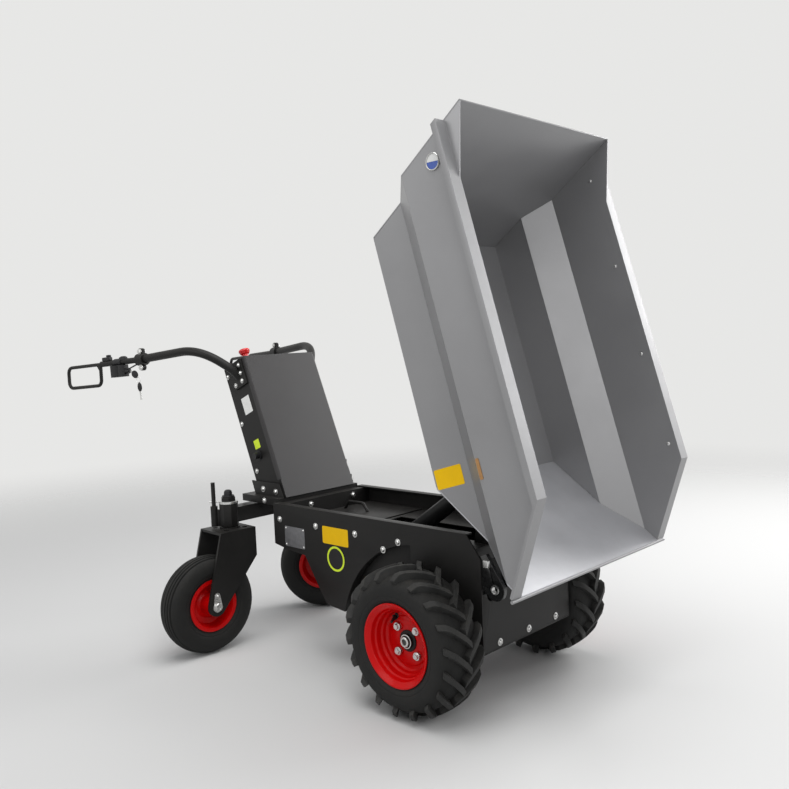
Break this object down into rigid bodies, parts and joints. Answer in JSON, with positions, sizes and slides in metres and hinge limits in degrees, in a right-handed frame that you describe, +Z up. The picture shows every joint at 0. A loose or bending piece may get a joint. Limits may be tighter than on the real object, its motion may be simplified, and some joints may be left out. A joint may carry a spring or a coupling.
{
  "type": "walk-behind electric site dumper",
  "caption": "Walk-behind battery site dumper with a forward-tipping folded-sheet tub, shown tipped, on two driven wheels and two swivel casters, with a leaning console and handlebars.",
  "frame": {"origin": "on the ground under the middle of the whole box, tub tipped as shown", "axes": "+X forward, towards the tipping end; +Y to the operator's left; +Z up"},
  "size_m": [2.1909, 0.9215, 1.5577],
  "materials": {
    "tub_grey": "satin grey paint",
    "chassis_black": "satin black powder coat",
    "bare_steel": "zinc plated",
    "plastic_black": "moulded",
    "stop_red": "moulded, glossy",
    "battery_case": "dark case",
    "drive_casting": "painted casting",
    "ram_black": "satin",
    "rim_red": "gloss red paint",
    "tyre_black": "ribbed rubber"
  },
  "bodies": {
    "chassis": {"side_plate_right": "chassis_black", "side_plate_left": "chassis_black", "front_plate": "chassis_black", "rear_plate": "chassis_black", "belly_pan": "chassis_black", "battery_tray": "chassis_black", "battery_pack": "battery_case", "drive_unit": "drive_casting", "deck_tray": "chassis_black", "bay_lid": "chassis_black", "lid_handle": "chassis_black", "hinge_frame": "chassis_black", "tip_shaft": "bare_steel", "ram_bracket": "chassis_black", "lashing_eye_right": "chassis_black", "lashing_eye_left": "chassis_black", "rear_shelf": "chassis_black", "beam_pin": "bare_steel", "axle_beam": "chassis_black", "lock_pin_right": "chassis_black", "lock_pin_left": "chassis_black", "console_shell": "chassis_black", "console_cover": "chassis_black", "emergency_stop": "stop_red", "selector_knob": "plastic_black", "side_socket": "plastic_black", "bar_bracket_right": "chassis_black", "bar_bracket_left": "chassis_black", "handlebar_right": "chassis_black", "handlebar_left": "chassis_black", "bar_clamp_right": "chassis_black", "bar_clamp_left": "chassis_black", "grip_right": "chassis_black", "grip_left": "chassis_black", "hand_guard_right": "chassis_black", "hand_guard_left": "chassis_black", "control_pod": "plastic_black", "key_switch": "plastic_black"},
    "tub": {"tub_floor": "tub_grey", "tub_wall_right": "tub_grey", "tub_wall_left": "tub_grey", "tub_board": "tub_grey", "tub_chute": "tub_grey", "tub_bearers": "tub_grey", "hinge_arms": "tub_grey"},
    "ram_barrel": {"ram_barrel": "ram_black"},
    "ram_rod": {"ram_rod": "bare_steel"},
    "drive_wheel_right": {"drive_rim_right": "rim_red", "drive_tyre_right": "tyre_black"},
    "caster_fork_right": {"caster_fork_right": "chassis_black"},
    "caster_wheel_right": {"caster_rim_right": "rim_red", "caster_tyre_right": "tyre_black"},
    "drive_wheel_left": {"drive_rim_left": "rim_red", "drive_tyre_left": "tyre_black"},
    "caster_fork_left": {"caster_fork_left": "chassis_black"},
    "caster_wheel_left": {"caster_rim_left": "rim_red", "caster_tyre_left": "tyre_black"}
  },
  "joints": [
    {"name": "tub_tip", "type": "hinge", "parent": "chassis", "child": "tub", "pos_m": [0.76296, 0.06933, 0.52], "axis": [0, 1, 0], "range_deg": [-74, 0]},
    {"name": "ram_swing", "type": "hinge", "parent": "chassis", "child": "ram_barrel", "pos_m": [0.29096, 0.06933, 0.35], "axis": [0, 1, 0], "range_deg": [0, 17.53]},
    {"name": "ram_extend", "type": "slide", "parent": "ram_barrel", "child": "ram_rod", "axis": [0.8281, 0, 0.5606], "range_m": [-0.08383, 0]},
    {"name": "drive_spin_right", "type": "hinge", "parent": "chassis", "child": "drive_wheel_right", "pos_m": [0.63096, -0.23067, 0.204], "axis": [0, 1, 0], "continuous": true},
    {"name": "caster_swivel_right", "type": "hinge", "parent": "chassis", "child": "caster_fork_right", "pos_m": [-0.22604, -0.19867, 0.16], "axis": [0, 0, 1], "continuous": true},
    {"name": "caster_roll_right", "type": "hinge", "parent": "caster_fork_right", "child": "caster_wheel_right", "pos_m": [-0.23138, -0.30053, 0.16], "axis": [-0.9986, 0.0523, 0], "continuous": true},
    {"name": "drive_spin_left", "type": "hinge", "parent": "chassis", "child": "drive_wheel_left", "pos_m": [0.63096, 0.36933, 0.204], "axis": [0, 1, 0], "continuous": true},
    {"name": "caster_swivel_left", "type": "hinge", "parent": "chassis", "child": "caster_fork_left", "pos_m": [-0.22604, 0.33733, 0.16], "axis": [0, 0, 1], "continuous": true},
    {"name": "caster_roll_left", "type": "hinge", "parent": "caster_fork_left", "child": "caster_wheel_left", "pos_m": [-0.29817, 0.26521, 0.16], "axis": [-0.7071, 0.7071, 0], "continuous": true}
  ],
  "couplings": [
    {"joint": "ram_swing", "follows": "tub_tip", "ratio": -0.23627},
    {"joint": "ram_extend", "follows": "tub_tip", "m_per_rad": 0.064751}
  ]
}
